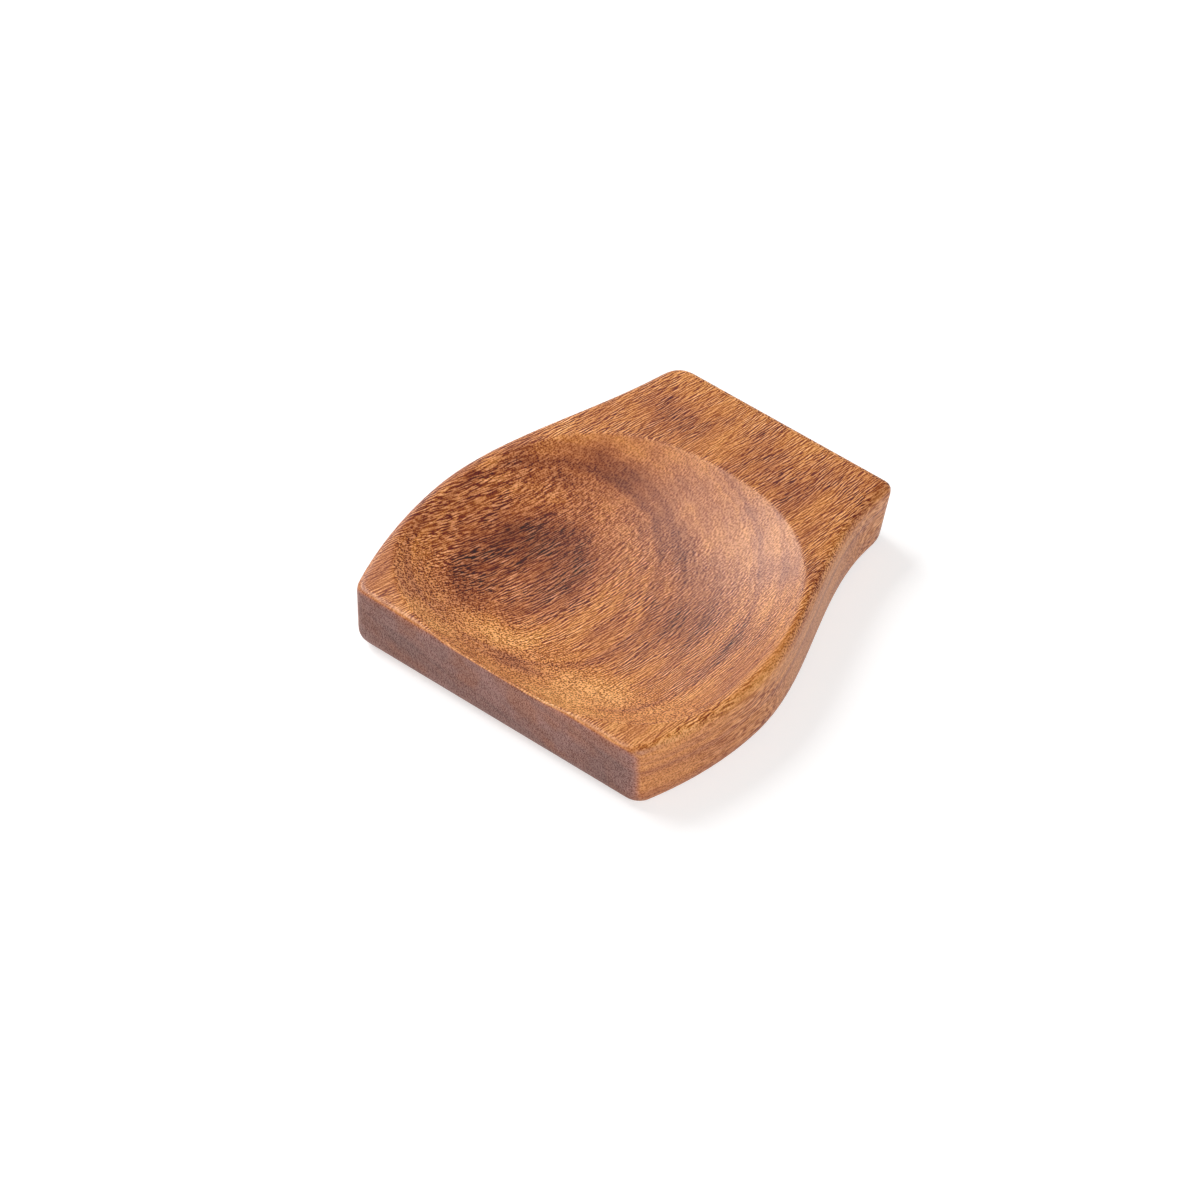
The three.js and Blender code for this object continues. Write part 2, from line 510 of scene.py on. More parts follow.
        feeds = {0: end_grain, 1: -self.end_grain_sanding, 2: 1.0}
        sanded = add_node(tree, "Math", feeds, operation="MULTIPLY_ADD")
        relief = add_node(tree, "Math", {0: pores, 1: sanded.outputs[0]}, operation="MULTIPLY")
        depth = self.vessel_depth * MM
        feeds = {"Height": relief.outputs[0], "Strength": self.vessel_relief, "Distance": depth}
        bump = add_node(tree, "Bump", feeds)
        shader = add_node(
            tree,
            "BsdfPrincipled",
            {
                "Base Color": colour.outputs[0],
                "Roughness": rougher.outputs[0],
                "IOR": self.ior,
                "Normal": bump.outputs[0],
            },
        )
        add_node(tree, "OutputMaterial", {"Surface": shader.outputs[0]})
        return material

    def _stretched(self, tree: Tree, place: Socket, across: float, along: float) -> Socket:
        """A place divided by a pattern's size across the grain and along it, which is front to rear."""
        feeds = {0: place, 1: (across, along, across)}
        return add_node(tree, "VectorMath", feeds, operation="DIVIDE").outputs[0]

    def _noise(
        self, tree: Tree, place: Socket, across: float, along: float, detail: float
    ) -> bpy.types.Node:
        """A soft noise that is drawn out along the grain.

        Args:
            tree: The material's node tree.
            place: The place in millimetres.
            across: The noise's size across the grain.
            along: The noise's size along the grain.
            detail: How much finer noise is laid over it.

        Returns:
            The node, whose outputs hold values round 0.5.
        """
        feeds = {"Vector": self._stretched(tree, place, across, along), "Scale": 1.0, "Detail": detail}
        return add_node(tree, "TexNoise", feeds)

    def _spread(self, tree: Tree, noise: Socket, reach: float) -> Socket:
        """A noise round 0.5 turned into one round 0, up to a reach each way."""
        feeds = {0: noise, 1: 2 * reach, 2: -reach}
        return add_node(tree, "Math", feeds, operation="MULTIPLY_ADD").outputs[0]

    def _together(self, tree: Tree, values: list[Socket], fold: Fold) -> Socket:
        """Takes values together, one after the other.

        Args:
            tree: The material's node tree.
            values: The values.
            fold: How two of them are taken together.

        Returns:
            The outcome.
        """
        whole = values[0]
        for value in values[1:]:
            whole = add_node(tree, "Math", {0: whole, 1: value}, operation=fold.value).outputs[0]
        return whole

    def _straightened(self, tree: Tree, place: Socket) -> Socket:
        """Takes the fibres' slow sway out of a place.

        Args:
            tree: The material's node tree.
            place: The place in millimetres.

        Returns:
            The place in a board whose fibres are straight.
        """
        slow = self._noise(tree, place, self.sway_width, self.sway_length, 1.0)
        feeds = {0: slow.outputs["Color"], 1: (NOISE_MIDDLE,) * 3}
        centred = add_node(tree, "VectorMath", feeds, operation="SUBTRACT")
        reach = 2 * self.sway_reach
        feeds = {0: centred.outputs[0], 1: (reach, 0.0, reach * self.sway_rise), 2: place}
        return add_node(tree, "VectorMath", feeds, operation="MULTIPLY_ADD").outputs[0]

    def _upright(self, tree: Tree, grain: Socket) -> Socket:
        """Turns the fibres, which lean to the right and fan out, so that they run front to rear.

        Args:
            tree: The material's node tree.
            grain: The place with the fibres straightened.

        Returns:
            The place with the fibres upright.
        """
        across, along, up = add_node(tree, "SeparateXYZ", {0: grain}).outputs
        feeds = {0: across, 1: self.fibre_fan, 2: -self.fibre_lean}
        lean = add_node(tree, "Math", feeds, operation="MULTIPLY_ADD")
        feeds = {0: lean.outputs[0], 1: along, 2: across}
        upright = add_node(tree, "Math", feeds, operation="MULTIPLY_ADD")
        feeds = {0: upright.outputs[0], 1: along, 2: up}
        return add_node(tree, "CombineXYZ", feeds).outputs[0]

    def _body(self, tree: Tree, place: Socket, grain: Socket, end_grain: Socket) -> Socket:
        """The wood's colour before its strokes and dots.

        Args:
            tree: The material's node tree.
            place: The place in millimetres.
            grain: The place with the fibres straightened.
            end_grain: How much the surface cuts the fibres squarely.

        Returns:
            The colour.
        """
        mottle = self._noise(tree, place, self.mottle_width, self.mottle_length, 1.0).outputs["Fac"]
        tones = [self._layers(tree, place, grain), self._spread(tree, mottle, self.mottle_tone)]
        tones += [self._cloud(tree, place, cloud) for cloud in self.clouds]
        # Paler along the edges: a painted highlight, and wear
        tones.append(self._edge_highlight_and_wear(tree))
        tone = self._together(tree, tones, Fold.SUM)

        even = add_node(tree, "Math", {0: end_grain, 1: self.end_grain_even}, operation="MULTIPLY")
        evened = add_node(tree, "Mix", {0: even.outputs[0], 2: tone, 3: self.end_grain_tone})
        size = self.end_grain_blotch
        blotch = add_node(
            tree,
            "MapRange",
            {
                "Value": self._noise(tree, place, size, size, 2.0).outputs["Fac"],
                "From Min": self.end_grain_noise[0],
                "From Max": self.end_grain_noise[1],
                "To Min": self.end_grain_least,
            },
        )
        # Grey in blotches on end grain, partly a painted reflection of the pale surroundings
        grey = add_node(tree, "Math", {0: end_grain, 1: blotch.outputs[0]}, operation="MULTIPLY")
        shade = self._shade(tree, evened.outputs[0])
        feeds = {0: grey.outputs[0], 6: shade, 7: linear(self.end_grain_grey_and_reflection)}
        return add_node(tree, "Mix", feeds, data_type="RGBA", blend_type="COLOR").outputs[2]

    def _layers(self, tree: Tree, place: Socket, grain: Socket) -> Socket:
        """The tone of the growth layers, which lean to one side and run with the grain.

        Args:
            tree: The material's node tree.
            place: The place in millimetres.
            grain: The place with the fibres straightened.

        Returns:
            The tone before clouds, vessels and fibres.
        """
        feeds = {0: grain, 1: (self.layer_slope, 0.0, 1.0)}
        level = add_node(tree, "VectorMath", feeds, operation="DOT_PRODUCT")
        noise = self._noise(tree, place, self.ripple_width, self.ripple_length, 2.0)
        ripple = self._spread(tree, noise.outputs["Fac"], self.ripple_reach)
        height = self._together(tree, [ripple, level.outputs["Value"]], Fold.SUM)

        lowest = self.layers[0][0]
        highest = self.layers[-1][0]
        feeds = {"Value": height, "From Min": lowest, "From Max": highest}
        share = add_node(tree, "MapRange", feeds)
        stops = [((at - lowest) / (highest - lowest), (tone, tone, tone, 1.0)) for at, tone in self.layers]
        broad = add_node(tree, "ValToRGB", {"Fac": share.outputs[0]}, stops)
        feeds = {"W": height, "Scale": 1 / self.line_spacing, "Detail": 2.0}
        lines = add_node(tree, "TexNoise", feeds, noise_dimensions="1D")
        fine = self._spread(tree, lines.outputs["Fac"], self.line_tone)
        return self._together(tree, [fine, broad.outputs["Color"]], Fold.SUM)

    def _shade(self, tree: Tree, tone: Socket) -> Socket:
        """The colour of a tone, redder where it is dark and yellower where it is pale.

        Args:
            tree: The material's node tree.
            tone: The tone.

        Returns:
            The colour.
        """
        span = self.shade_step * len(WoodShade)
        share = add_node(tree, "Math", {0: tone, 1: span}, operation="DIVIDE")
        steps = enumerate(WoodShade, start=1)
        stops = [(self.shade_step * step / span, linear(shade.value)) for step, shade in steps]
        return add_node(tree, "ValToRGB", {"Fac": share.outputs[0]}, stops).outputs["Color"]

    def _cloud(self, tree: Tree, place: Socket, cloud: Cloud) -> Socket:
        """The tone that a cloud adds, most in its middle and none at its edge.

        Args:
            tree: The material's node tree.
            place: The place in millimetres.
            cloud: The cloud.

        Returns:
            The tone.
        """
        offset = add_node(tree, "VectorMath", {0: place, 1: cloud.centre}, operation="SUBTRACT")
        feeds = {0: offset.outputs[0], 1: cloud.reach}
        shrunk = add_node(tree, "VectorMath", feeds, operation="DIVIDE")
        far = add_node(tree, "VectorMath", {0: shrunk.outputs[0]}, operation="LENGTH")
        feeds = {"Value": far.outputs["Value"], "To Min": cloud.tone, "To Max": 0.0}
        return add_node(tree, "MapRange", feeds, interpolation_type="SMOOTHSTEP").outputs[0]

    def _cut(self, tree: Tree, place: Socket, normal: bpy.types.Node, end_grain: Socket) -> Socket:
        """How much the strokes and vessels show for the way that the surface was cut.

        They show where it runs with the grain, and less on the outer sides, where the cut was cleanest.

        Args:
            tree: The material's node tree.
            place: The place in millimetres.
            normal: The node that holds the parts of the surface's direction.
            end_grain: How much the surface cuts the fibres squarely.

        Returns:
            A factor round 1.
        """
        turns = (("Y", self.cross_turn, self.cross_cut), ("X", self.side_turn, self.side_cut))
        shares = []
        for part, (low, high), least in turns:
            size = add_node(tree, "Math", {0: normal.outputs[part]}, operation="ABSOLUTE").outputs[0]
            feeds = {"Value": size, "From Min": low, "From Max": high, "To Min": 1.0, "To Max": least}
            shares.append(add_node(tree, "MapRange", feeds).outputs[0])
        for patch in self.calm:
            feeds = {0: 1.0, 1: self._cloud(tree, place, patch)}
            shares.append(add_node(tree, "Math", feeds, operation="ADD").outputs[0])
        cut = self._together(tree, shares, Fold.PRODUCT)
        ends = add_node(tree, "Math", {0: end_grain, 1: self.end_grain_pores}, operation="MULTIPLY")
        return add_node(tree, "Math", {0: cut, 1: ends.outputs[0]}, operation="MAXIMUM").outputs[0]

    def _dots(self, tree: Tree, grain: Socket, normal: bpy.types.Node) -> Socket:
        """The tone of the vessels' cut ends, which dot the surface where it crosses the grain.

        They show most on the dish's front wall, and little on its rear wall and on the outer walls.

        Args:
            tree: The material's node tree.
            grain: The place with the fibres straightened.
            normal: The node that holds the parts of the surface's direction.

        Returns:
            A tone round 0.
        """
        ends = add_node(tree, "TexVoronoi", {"Vector": grain, "Scale": 1 / self.dot_spacing})
        across = add_node(tree, "Math", {0: normal.outputs["Y"]}, operation="ABSOLUTE").outputs[0]
        turned = []
        for part, (low, high) in (("Y", self.dot_forward), ("Z", self.dot_lying)):
            feeds = {"Value": normal.outputs[part], "From Min": low, "From Max": high}
            turned.append(add_node(tree, "MapRange", feeds).outputs[0])
        open_cut = self._together(tree, turned, Fold.PRODUCT)
        whole = (0.0, 1.0)
        tones = []
        for value, (low, high), first, last in (
            (ends.outputs["Distance"], self.dot_edge, self.dot_tone, self.dot_pale),
            (across, self.dot_turn, self.dot_least, 1.0),
            (across, self.dot_end_turn, 1.0, self.dot_end_grain),
            (open_cut, whole, self.dot_rear, 1.0),
        ):
            feeds = {"Value": value, "From Min": low, "From Max": high, "To Min": first, "To Max": last}
            tones.append(add_node(tree, "MapRange", feeds).outputs[0])
        return self._together(tree, tones, Fold.PRODUCT)

    def _vessels(self, tree: Tree, grain: Socket) -> Socket:
        """The tone of the open vessels, which are thin, broken lines along the grain.

        Args:
            tree: The material's node tree.
            grain: The place with the fibres upright.

        Returns:
            A tone of 0 or darker.
        """
        sheets = self._noise(tree, grain, self.vessel_spacing, self.vessel_length, 0.0).outputs["Fac"]
        centred = self._spread(tree, sheets, NOISE_MIDDLE)
        off = add_node(tree, "Math", {0: centred}, operation="ABSOLUTE")
        line = add_node(
            tree,
            "MapRange",
            {
                "Value": off.outputs[0],
                "From Max": self.vessel_share,
                "To Min": self.vessel_tone,
                "To Max": 0.0,
            },
            interpolation_type="SMOOTHSTEP",
        )
        breaks = self._noise(tree, grain, self.vessel_break_width, self.vessel_break_length, 0.0)
        low, high = self.vessel_gaps
        feeds = {"Value": breaks.outputs["Fac"], "From Min": low, "From Max": high}
        unbroken = add_node(tree, "MapRange", feeds)
        return self._together(tree, [line.outputs[0], unbroken.outputs[0]], Fold.PRODUCT)

    def _pores(self, tree: Tree, grain: Socket, cut: Socket, dots: Socket) -> Socket:
        """The tone of the fine strokes, the open vessels and the dots between them.

        Args:
            tree: The material's node tree.
            grain: The place with the fibres upright.
            cut: How much the strokes and vessels show.
            dots: The tone of the vessels' cut ends.

        Returns:
            A tone round 0.
        """
        # A stroke is where the wood on both sides is paler than its middle
        noises = []
        for way in (0.0, 1.0, -1.0):
            feeds = {0: grain, 1: Vector(self.fibre_shift) * way}
            moved = add_node(tree, "VectorMath", feeds, operation="ADD").outputs[0]
            noise = self._noise(tree, moved, self.fibre_width, self.fibre_length, 0.0)
            noises.append(noise.outputs["Fac"])
        here, right, left = noises
        beside = self._together(tree, [right, left], Fold.SUM)
        feeds = {0: here, 1: -2.0, 2: beside}
        strokes = add_node(tree, "Math", feeds, operation="MULTIPLY_ADD").outputs[0]
        faint = add_node(tree, "Math", {0: strokes, 1: self.fibre_pale}, operation="MULTIPLY")
        dark = add_node(tree, "Math", {0: strokes, 1: faint.outputs[0]}, operation="MINIMUM")
        feeds = {0: dark.outputs[0], 1: self.fibre_tone, 2: self._vessels(tree, grain)}
        deep = add_node(tree, "Math", feeds, operation="MULTIPLY_ADD")
        feeds = {0: deep.outputs[0], 1: self.fibre_darkest}
        both = add_node(tree, "Math", feeds, operation="MAXIMUM")

        patch = add_node(
            tree,
            "MapRange",
            {
                "Value": self._noise(tree, grain, self.patch_width, self.patch_length, 1.0).outputs["Fac"],
                "From Min": self.patch_noise[0],
                "From Max": self.patch_noise[1],
                "To Min": self.patch_bold,
                "To Max": self.patch_faint,
            },
        )
        gain = self._together(tree, [cut, patch.outputs[0]], Fold.PRODUCT)
        feeds = {0: both.outputs[0], 1: gain, 2: dots}
        return add_node(tree, "Math", feeds, operation="MULTIPLY_ADD").outputs[0]

    def _edge_highlight_and_wear(self, tree: Tree) -> Socket:
        """The paler tone along the edges: a painted highlight where they catch the light, and wear from
        handling.

        Args:
            tree: The material's node tree.

        Returns:
            A tone of 0 or paler.
        """
        shape = add_node(tree, "NewGeometry", {})
        sharp = shape.outputs["Pointiness"]
        low, high = self.edge_sharpness
        feeds = {"Value": sharp, "From Min": low, "From Max": high, "To Max": self.edge_highlight_tone}
        return add_node(tree, "MapRange", feeds).outputs[0]

    def _end_grain(self, tree: Tree, normal: bpy.types.Node) -> Socket:
        """How much the grey of end grain shows, a grey that is partly a painted reflection: most where the
        surface cuts the fibres squarely.

        Args:
            tree: The material's node tree.
            normal: The node that holds the parts of the surface's direction.

        Returns:
            A share from 0 to 1.
        """
        size = add_node(tree, "Math", {0: normal.outputs["Y"]}, operation="ABSOLUTE")
        low, high = self.end_grain_turn
        feeds = {"Value": size.outputs[0], "From Min": low, "From Max": high}
        return add_node(tree, "MapRange", feeds, interpolation_type="SMOOTHSTEP").outputs[0]


@dataclass(frozen=True)
class Side:
    """One hand-shaped side of the block in plan. Lengths are in millimetres; the lean is per millimetre."""

    front_half: float
    belly_from_front: float
    rear_half: float
    lean: float
    neck_from_rear: float
    rear_corner: float


@dataclass(frozen=True)
class Rounds:
    """The radii of the sanded edges round the block's top or round its underside, in millimetres."""

    front: float
    right: float
    rear: float
    left: float


@dataclass
class CarvedBody:
    """The one block of wood: a bell-shaped plan with sanded edges and a dish carved into its top.

    Lengths are in millimetres. The overall sizes come from the frame.
    """

    node: str = "carved_body"
    slot: str = "oiled_acacia"
    right: Side = Side(46.5, 40.1, 38.7, 0.0, 8.3, 2.5)
    right_foot: Side = Side(46.5, 40.1, 37.6, 0.0, 8.3, 6.5)
    left: Side = Side(47.5, 42.9, 34.1, 0.27, 9.9, 5.5)
    front_corner: float = 3.7
    tightest_corner: float = 1.2
    top_rounds: Rounds = Rounds(front=1.9, right=3.0, rear=2.0, left=1.9)
    base_rounds: Rounds = Rounds(front=5.0, right=3.4, rear=5.0, left=5.0)
    dish_width: float = 105.0
    dish_widest_from_front: float = 36.0
    dish_rear_reach: float = 59.0
    dish_front_reach: float = 36.8
    dish_depth: float = 12.0
    # 2 would make the rim an ellipse; more fills out its shoulders
    rim_squareness: float = 2.4
    # 2 would make the section a parabola; more flattens the floor and steepens the walls
    floor_flatness: float = 2.6
    # How far the tool that carves the dish stands above the top
    cutter_rise: float = 6.0
    sanding_grid: float = 0.62
    sanding_strength: float = 0.5
    sanding_passes: int = 2
    # Fineness of the curves
    curve_steps: int = 24
    corner_steps: int = 10
    edge_steps: int = 8
    rim_spokes: int = 160
    dish_rings: int = 20
    # Read from the frame
    front: float = field(init=False)
    rear: float = field(init=False)
    belly_width: float = field(init=False)
    thickness: float = field(init=False)
    dish_centre: float = field(init=False)

    def __post_init__(self) -> None:
        """Takes the overall sizes from the frame."""
        low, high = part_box(self.node)
        self.front = low.y / MM
        self.rear = high.y / MM
        self.belly_width = (high.x - low.x) / MM
        self.thickness = (high.z - low.z) / MM
        self.dish_centre = self.front + self.dish_widest_from_front

    def half_outline(self, side: Side, rounds: tuple[float, float, float], share: float) -> list[Corner]:
        """One side of the plan outline, drawn to the right of the centre line.

        Args:
            side: The side's own sizes.
            rounds: The radii of the front, side and rear edges.
            share: The share of each radius by which its edge draws the outline in.

        Returns:
            Points from the middle of the front edge to the middle of the rear, each with its edge's radius.
        """
        steps, corner_steps = self.curve_steps, self.corner_steps
        front_round, side_round, rear_round = rounds
        front = self.front + front_round * share
        rear = self.rear - rear_round * share
        drawn_in = side_round * share
        front_half = side.front_half - drawn_in
        belly_half = self.belly_width / 2 - drawn_in
        rear_half = side.rear_half - drawn_in
        front_corner = max(self.front_corner - drawn_in, self.tightest_corner)
        rear_corner = max(side.rear_corner - drawn_in, self.tightest_corner)

        belly = self.front + side.belly_from_front
        shoulder_start = front + front_corner
        left_over = (belly - shoulder_start) / side.belly_from_front
        shoulder_half = belly_half - (belly_half - front_half) * left_over**2

        neck_end = self.rear - side.neck_from_rear
        neck_half = rear_half + side.lean * side.neck_from_rear
        reach = (neck_end - belly) / 3
        end_half = rear_half + side.lean * (self.rear - rear)

        corner_start = (front_half - front_corner, front)
        shoulder = (shoulder_half, shoulder_start)
        widest = (belly_half, belly)
        neck = (neck_half, neck_end)
        neck_pull = (neck_half + side.lean * reach, neck_end - reach)
        rear_start = (end_half + side.lean * rear_corner, rear - rear_corner)
        rear_end = (end_half - rear_corner, rear)

        front_turn = bezier([corner_start, (front_half, front), shoulder], corner_steps)
        flank = bezier([shoulder, (belly_half, (shoulder_start + belly) / 2), widest], steps)
        flank += bezier([widest, (belly_half, belly + reach), neck_pull, neck], 2 * steps)
        rear_turn = bezier([rear_start, (end_half, rear), rear_end], corner_steps)

        corners = [(0.0, front, front_round), (*corner_start, front_round)]
        for step, point in enumerate(front_turn, start=1):
            corners.append((*point, front_round + (side_round - front_round) * step / corner_steps))
        corners += [(*point, side_round) for point in flank + [rear_start]]
        for step, point in enumerate(rear_turn, start=1):
            corners.append((*point, side_round + (rear_round - side_round) * step / corner_steps))
        corners.append((0.0, rear, rear_round))
        return corners

    def ring(
        self, right: Side, rounds: Rounds, share: float, lift: Callable[[float], float]
    ) -> list[Vector]:
        """One ring round the block, anticlockwise from above.

        Args:
            right: The right-hand side's sizes at this height.
            rounds: The radii of the edges.
            share: The share of each radius by which the ring is drawn in.
            lift: The ring's height for an edge's radius.

        Returns:
            The ring's corners, in metres.
        """
        right_half = self.half_outline(right, (rounds.front, rounds.right, rounds.rear), share)
        left_half = self.half_outline(self.left, (rounds.front, rounds.left, rounds.rear), share)
        corners = right_half + [(-x, y, radius) for x, y, radius in reversed(left_half[1:-1])]
        return [Vector((x, y, lift(radius))) * MM for x, y, radius in corners]

    def rim(self) -> list[Point]:
        """The rim of the dish in plan, before it meets the front edge.

        Returns:
            The rim's points, anticlockwise from its right-hand side.
        """
        power = self.rim_squareness
        points = []
        for spoke in range(self.rim_spokes):
            turn = 2 * math.pi * spoke / self.rim_spokes
            across, along = math.cos(turn), math.sin(turn)
            squared = (abs(across) ** power + abs(along) ** power) ** (1 / power)
            reach = self.dish_rear_reach if along > 0 else self.dish_front_reach
            x = across / squared * self.dish_width / 2
            points.append((x, self.dish_centre + along / squared * reach))
        return points

    def floor_height(self, share: float) -> float:
        """The height of the dish's surface, at a share of the way from its middle to its rim."""
        return self.thickness - self.dish_depth * (1 - share**self.floor_flatness)

    def build_block(self) -> bpy.types.Object:
        """Shapes the board ring by ring, from the flat underside up the walls and over the top edge.

        Returns:
            The block before the dish is carved.
        """
        top = self.thickness
        turns = [self._quarter_turn(step / self.edge_steps) for step in range(self.edge_steps + 1)]
        rows = [
            self.ring(self.right_foot, self.base_rounds, 1 - out, lambda radius: radius * (1 - up))
            for out, up in turns
        ]
        rows += [
            self.ring(self.right, self.top_rounds, 1 - out, lambda radius: top - radius * (1 - up))
            for up, out in turns
        ]

        block = draw_loop("spoon_rest_body", rows[0])
        for last, row in zip(rows, rows[1:]):
            extrude_row(block, last, row)
        bpy.ops.mesh.edge_face_add()
        select_edges(block, lambda point: point.z < NEAR)
        bpy.ops.mesh.edge_face_add()
        bpy.ops.mesh.select_all(action="SELECT")
        bpy.ops.mesh.normals_make_consistent(inside=False)
        bpy.ops.object.mode_set(mode="OBJECT")
        return block

    def _quarter_turn(self, share: float) -> tuple[float, float]:
        """The sine and cosine of a share of a quarter turn."""
        turn = share * math.pi / 2
        return math.sin(turn), math.cos(turn)

    def build_dish_cutter(self) -> bpy.types.Object:
        """Shapes the solid that the dish is carved with, ring by ring from its rim.

        Returns:
            The cutter, a closed bowl that stands a little above the block's top.
        """
        rings = self.dish_rings
        cutter = draw_loop("dish_cutter", [Vector((x, y, self.thickness)) * MM for x, y in self.rim()])
        centre = (0.0, self.dish_centre * MM, 0.0)

        def next_ring(share: float, last: float) -> None:
            """Extrudes the selected ring to another share of the way out.

            Args:
                share: The new ring's share of the way from the dish's middle to its rim.
                last: The selected ring's share.
            """
            bpy.ops.mesh.extrude_edges_move()
            bpy.ops.transform.resize(value=(share / last, share / last, 1.0), center_override=centre)
            rise = self.floor_height(share) - self.floor_height(last)
            bpy.ops.transform.translate(value=(0.0, 0.0, rise * MM))

        for ring in range(rings, 1, -1):
            next_ring((ring - 1) / rings, ring / rings)
        bpy.ops.mesh.extrude_edges_move()
        bpy.ops.mesh.merge(type="CENTER")
        drop = self.floor_height(0.0) - self.floor_height(1 / rings)
        bpy.ops.transform.translate(value=(0.0, 0.0, drop * MM))

        top = self.thickness * MM
        select_edges(cutter, lambda point: abs(point.z - top) < NEAR)
        next_ring(1 + 1 / rings, 1.0)
        bpy.ops.mesh.extrude_edges_move(TRANSFORM_OT_translate={"value": (0.0, 0.0, self.cutter_rise * MM)})
        bpy.ops.mesh.edge_face_add()
        bpy.ops.mesh.select_all(action="SELECT")
        bpy.ops.mesh.normals_make_consistent(inside=False)
        bpy.ops.object.mode_set(mode="OBJECT")
        return cutter

    def build(self) -> bpy.types.Object:
        """Carves the dish out of the block and sands everything smooth.

        Returns:
            The finished body.
        """
        block = self.build_block()
        cutter = self.build_dish_cutter()
        bpy.ops.object.select_all(action="DESELECT")
        bpy.context.view_layer.objects.active = block
        block.select_set(True)

        carve = block.modifiers.new("carve", "BOOLEAN")
        carve.object = cutter
        carve.operation = "DIFFERENCE"
        carve.solver = "EXACT"
        bpy.ops.object.modifier_apply(modifier=carve.name)
        bpy.data.objects.remove(cutter)

        even = block.modifiers.new("even", "REMESH")
        even.mode = "VOXEL"
        even.voxel_size = self.sanding_grid * MM
        bpy.ops.object.modifier_apply(modifier=even.name)

        sand = block.modifiers.new("sand", "SMOOTH")
        sand.factor = self.sanding_strength
        sand.iterations = self.sanding_passes
        bpy.ops.object.modifier_apply(modifier=sand.name)
        bpy.ops.object.shade_smooth()
        return block

    def dress(self, body: bpy.types.Object, finish: OiledAcacia) -> None:
        """Gives the body its finish and its place in the frame.

        Args:
            body: The finished body.
            finish: The wood that it is made of.
        """
        body.data.materials.clear()
        body.data.materials.append(finish.material())
        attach(body, "root")
        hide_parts(self.node)


@dataclass(frozen=True)
class MattWhitePaint:
    """Matt emulsion, rolled on.

    To the eye: an even white without gloss. It is lifted to pure white where it is seen, and not where it
    lights the wood.
    """

    colour: str = "#D0D0D0"
    lift: float = 0.58

    def material(self) -> bpy.types.Material:
        """Builds the material.

        Returns:
            The finished material, named for the paint.
        """
        material = bare_material("matt white paint")
        tree = material.node_tree
        paint = add_node(tree, "BsdfDiffuse", {"Color": linear(self.colour)})
        lift = add_node(tree, "Math", {0: seen_directly(tree), 1: self.lift}, operation="MULTIPLY")
        glow = add_node(tree, "Emission", {"Strength": lift.outputs[0]})
        both = add_node(tree, "AddShader", {0: paint.outputs[0], 1: glow.outputs[0]})
        add_node(tree, "OutputMaterial", {"Surface": both.outputs[0]})
        return material


@dataclass
class StudioFloor:
    """A round floor that keeps the rest's soft shadow and ends where the lamps fade. Sizes are in metres."""

    radius: float = 0.42
    corners: int = 96

    def build(self) -> bpy.types.Object:
        """Lays the floor under the rest.

        Returns:
            The floor.
        """
        bpy.ops.object.select_all(action="DESELECT")
        bpy.ops.mesh.primitive_circle_add(vertices=self.corners, radius=self.radius, fill_type="NGON")
        floor = bpy.context.object
        floor.name = "studio_floor"
        return floor

    def dress(self, floor: bpy.types.Object, finish: MattWhitePaint) -> None:
        """Paints the floor."""
        floor.data.materials.append(finish.material())


class LightRole(Enum):
    """What each studio lamp does."""

    KEY = "key_light"
    FILL = "fill_light"
    SHEEN = "sheen_light"


@dataclass(frozen=True)
class SoftBox:
    """A square soft light that faces the rest, in metres, degrees and watts."""

    role: LightRole
    azimuth: float
    elevation: float
    distance: float
    side: float
    power: float

    def build(self) -> bpy.types.Object:
        """Hangs the light and turns it to the rest.

        Returns:
            The light.
        """
        bpy.ops.object.select_all(action="DESELECT")
        place = around(self.azimuth, self.elevation) * self.distance
        bpy.ops.object.light_add(type="AREA", location=place)
        light = bpy.context.object
        light.name = self.role.value
        light.data.shape = "SQUARE"
        light.data.size = self.side
        light.data.energy = self.power
        light.rotation_euler = place.to_track_quat("Z", "Y").to_euler()
        return light


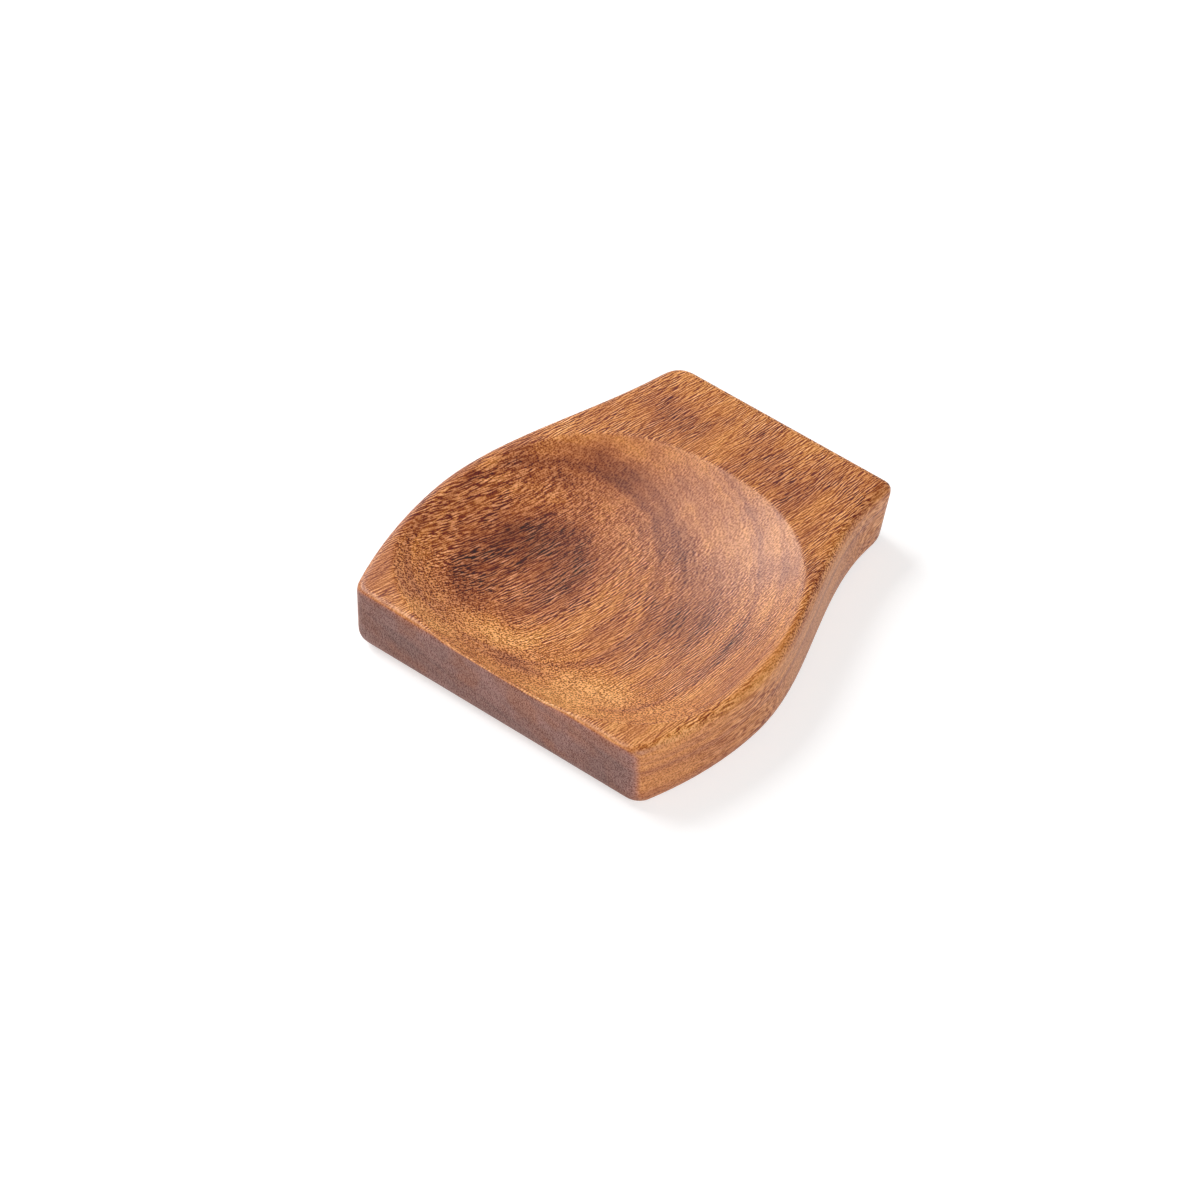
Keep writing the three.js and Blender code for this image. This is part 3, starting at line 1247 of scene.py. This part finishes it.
@dataclass(frozen=True)
class Studio:
    """The surroundings: white walls, where they are seen, under a dim and even ceiling."""

    colour: str = "#FFFFFF"
    level: float = 0.2
    wall_top: float = 0.15
    ceiling_start: float = 0.3

    def build(self) -> None:
        """Sets the world to a soft light whose walls show as white."""
        world = bpy.data.worlds.new("white studio")
        bpy.context.scene.world = world
        world.use_nodes = True
        tree = world.node_tree
        tree.nodes.clear()
        direction = add_node(tree, "TexCoord", {})
        rise = add_node(tree, "SeparateXYZ", {0: direction.outputs["Generated"]})
        wall = add_node(
            tree,
            "MapRange",
            {
                "Value": rise.outputs["Z"],
                "From Min": self.wall_top,
                "From Max": self.ceiling_start,
                "To Min": 1.0,
                "To Max": 0.0,
            },
        )
        feeds = {0: seen_directly(tree), 1: wall.outputs[0]}
        seen = add_node(tree, "Math", feeds, operation="MULTIPLY")
        feeds = {"Value": seen.outputs[0], "To Min": self.level, "To Max": 1.0}
        strength = add_node(tree, "MapRange", feeds)
        feeds = {"Color": linear(self.colour), "Strength": strength.outputs[0]}
        light = add_node(tree, "Background", feeds)
        add_node(tree, "OutputWorld", {"Surface": light.outputs[0]})


@dataclass(frozen=True)
class PhotoCamera:
    """A long lens at the photograph's angle. Lengths are in millimetres and angles in degrees."""

    azimuth: float = 39.03
    elevation: float = 46.08
    distance: float = 1600.0
    pixels_per_mm: float = 3.79
    aim: Corner = (-4.59, -10.70, 4.78)
    sensor: float = 36.0

    def build(self) -> bpy.types.Object:
        """Places the camera and makes it the scene's own.

        Returns:
            The camera.
        """
        bpy.ops.object.select_all(action="DESELECT")
        aim = Vector(self.aim) * MM
        back = around(self.azimuth, self.elevation)
        bpy.ops.object.camera_add(location=aim + back * self.distance * MM)
        camera = bpy.context.object
        camera.name = "photo_camera"
        camera.rotation_euler = back.to_track_quat("Z", "Y").to_euler()
        camera.data.sensor_width = self.sensor
        camera.data.lens = self.pixels_per_mm * self.distance / PHOTO_SIDE * self.sensor
        bpy.context.scene.camera = camera
        return camera


LIGHTS = (
    SoftBox(LightRole.KEY, azimuth=-88.0, elevation=47.0, distance=1.0, side=0.65, power=9.0),
    SoftBox(LightRole.FILL, azimuth=66.0, elevation=24.0, distance=1.2, side=0.8, power=8.0),
    SoftBox(LightRole.SHEEN, azimuth=-108.0, elevation=26.0, distance=1.0, side=0.4, power=1.1),
)


def main() -> None:
    """Builds the rest, its surroundings and the camera, and reports each piece."""
    logging.basicConfig(level=logging.INFO, format="%(name)s: %(message)s")
    bpy.context.scene.view_settings.view_transform = "Standard"

    design = CarvedBody()
    body = design.build()
    design.dress(body, OiledAcacia())
    LOG.info("%s: %d faces, rides on root", body.name, len(body.data.polygons))

    stand = StudioFloor()
    floor = stand.build()
    stand.dress(floor, MattWhitePaint())
    LOG.info("%s laid", floor.name)
    Studio().build()
    for light in LIGHTS:
        LOG.info("%s hung", light.build().name)
    LOG.info("%s set", PhotoCamera().build().name)


if __name__ == "__main__":
    main()
